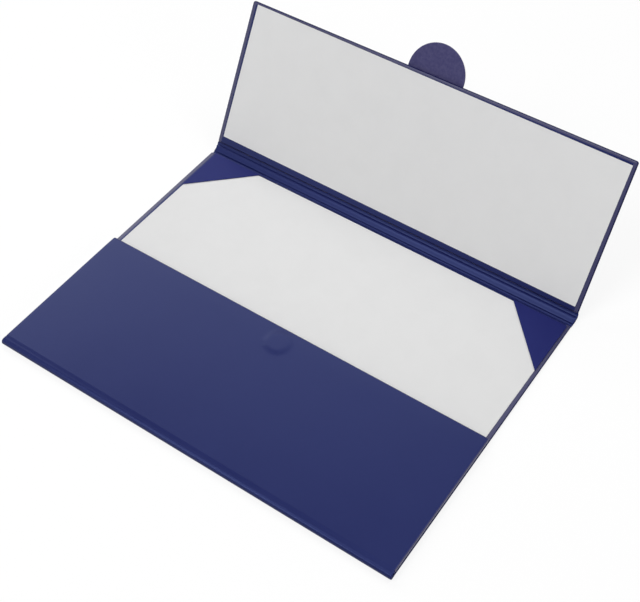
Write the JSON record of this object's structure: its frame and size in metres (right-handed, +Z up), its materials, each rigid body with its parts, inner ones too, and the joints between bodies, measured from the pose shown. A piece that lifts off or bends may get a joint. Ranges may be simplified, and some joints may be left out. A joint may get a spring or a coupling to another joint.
{
  "type": "diploma cover",
  "caption": "Hard gate-fold document cover in wrapped board, with white linings, two corner pockets and a round magnetic tab on the upper flap.",
  "frame": {"origin": "centre of the back panel's underside, half way between the closed cover's front and back", "axes": "+X to the right along the fold lines, +Y from the front fold to the back fold, +Z up from the table"},
  "size_m": [0.3114, 0.3075, 0.1246],
  "materials": {
    "cover_sheet": "smooth satin navy polyurethane leather",
    "lining": "matt white paper",
    "board": "grey board",
    "magnet": "nickel plated"
  },
  "bodies": {
    "back_panel": {"back_panel_board": "board", "back_panel_skin": "cover_sheet", "back_panel_lining": "lining", "rear_joint_cloth": "cover_sheet", "front_joint_cloth": "cover_sheet", "corner_pocket_left": "cover_sheet", "corner_pocket_right": "cover_sheet"},
    "back_spine": {"back_spine_card": "board", "back_spine_skin": "cover_sheet", "back_spine_facing": "cover_sheet"},
    "upper_flap": {"upper_flap_board": "board", "upper_flap_skin": "cover_sheet", "upper_flap_joint_cloth": "cover_sheet", "upper_flap_lining": "lining", "tab_core": "board", "tab_front_skin": "cover_sheet", "tab_rear_skin": "cover_sheet", "tab_magnet": "magnet"},
    "front_spine": {"front_spine_card": "board", "front_spine_skin": "cover_sheet", "front_spine_facing": "cover_sheet"},
    "lower_flap": {"lower_flap_board": "board", "lower_flap_skin": "cover_sheet", "lower_flap_joint_cloth": "cover_sheet", "lower_flap_lining": "lining", "lower_flap_magnet": "magnet"}
  },
  "joints": [
    {"name": "back_spine_hinge", "type": "hinge", "parent": "back_panel", "child": "back_spine", "pos_m": [0, 0.1151, 0.0009], "axis": [1, 0, 0], "range_deg": [-30, 60.15]},
    {"name": "upper_flap_hinge", "type": "hinge", "parent": "back_spine", "child": "upper_flap", "pos_m": [0, 0.12187, 0.00487], "axis": [1, 0, 0], "range_deg": [-30, 60.15]},
    {"name": "front_spine_hinge", "type": "hinge", "parent": "back_panel", "child": "front_spine", "pos_m": [0, -0.1151, 0.0009], "axis": [-1, 0, 0], "range_deg": [-89.5, 0]},
    {"name": "lower_flap_hinge", "type": "hinge", "parent": "front_spine", "child": "lower_flap", "pos_m": [0, -0.1151, 0.0054], "axis": [-1, 0, 0], "range_deg": [-89.5, 0]}
  ],
  "couplings": [
    {"joint": "upper_flap_hinge", "follows": "back_spine_hinge", "ratio": 1},
    {"joint": "lower_flap_hinge", "follows": "front_spine_hinge", "ratio": 1}
  ]
}
